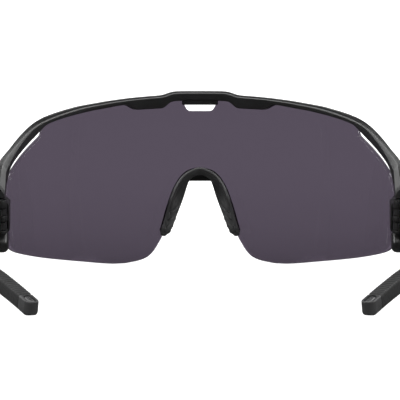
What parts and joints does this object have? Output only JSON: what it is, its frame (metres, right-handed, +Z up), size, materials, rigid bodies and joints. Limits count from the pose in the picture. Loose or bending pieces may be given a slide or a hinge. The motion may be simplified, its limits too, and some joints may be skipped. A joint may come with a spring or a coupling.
{
  "type": "wraparound sport sunglasses",
  "caption": "Wraparound sport sunglasses with one dark shield lens under a slim brow frame, a rubber nose saddle and folding temples with serrated rubber tips.",
  "frame": {"origin": "bottom centre of the bounding box of the open sunglasses, on the plane they stand on", "axes": "+X towards the wearer's right, +Y forward through the middle of the lens, +Z up"},
  "size_m": [0.1478, 0.1654, 0.0614],
  "materials": {
    "frame": "satin black moulded nylon",
    "lens": "polished dark violet-grey polycarbonate, see-through",
    "carrier": "fine matt black moulded plastic",
    "nose_rubber": "soft matt black rubber with a satin sheen",
    "hinge_block": "fine matt black moulded plastic",
    "steel": "plain machined steel",
    "brass": "machined brass",
    "rubber_sleeve": "matt charcoal rubber with a fine knurl and a serrated upper edge",
    "tip_cap": "matt charcoal moulded plastic",
    "tip_inlay": "satin grey plastic"
  },
  "bodies": {
    "front": {"brow_frame": "frame", "shield_lens": "lens", "nose_carrier": "carrier", "nose_pad": "nose_rubber", "hinge_block_left": "hinge_block", "hinge_block_right": "hinge_block", "hinge_screw_left": "steel", "hinge_screw_right": "steel", "hinge_insert_left": "brass", "hinge_insert_right": "brass"},
    "left_temple": {"temple_arm_left": "frame", "temple_grip_left": "rubber_sleeve", "core_wire_left": "steel", "tip_cap_left": "tip_cap", "tip_inlay_left": "tip_inlay"},
    "right_temple": {"temple_arm_right": "frame", "temple_grip_right": "rubber_sleeve", "core_wire_right": "steel", "tip_cap_right": "tip_cap", "tip_inlay_right": "tip_inlay"}
  },
  "joints": [
    {"name": "left_temple_fold", "type": "hinge", "parent": "front", "child": "left_temple", "pos_m": [-0.0681, 0.0285, 0.0205], "axis": [0, -0.1392, 0.9903], "range_deg": [0, 90]},
    {"name": "right_temple_fold", "type": "hinge", "parent": "front", "child": "right_temple", "pos_m": [0.0681, 0.0285, 0.0205], "axis": [0, 0.1392, -0.9903], "range_deg": [0, 75]}
  ]
}
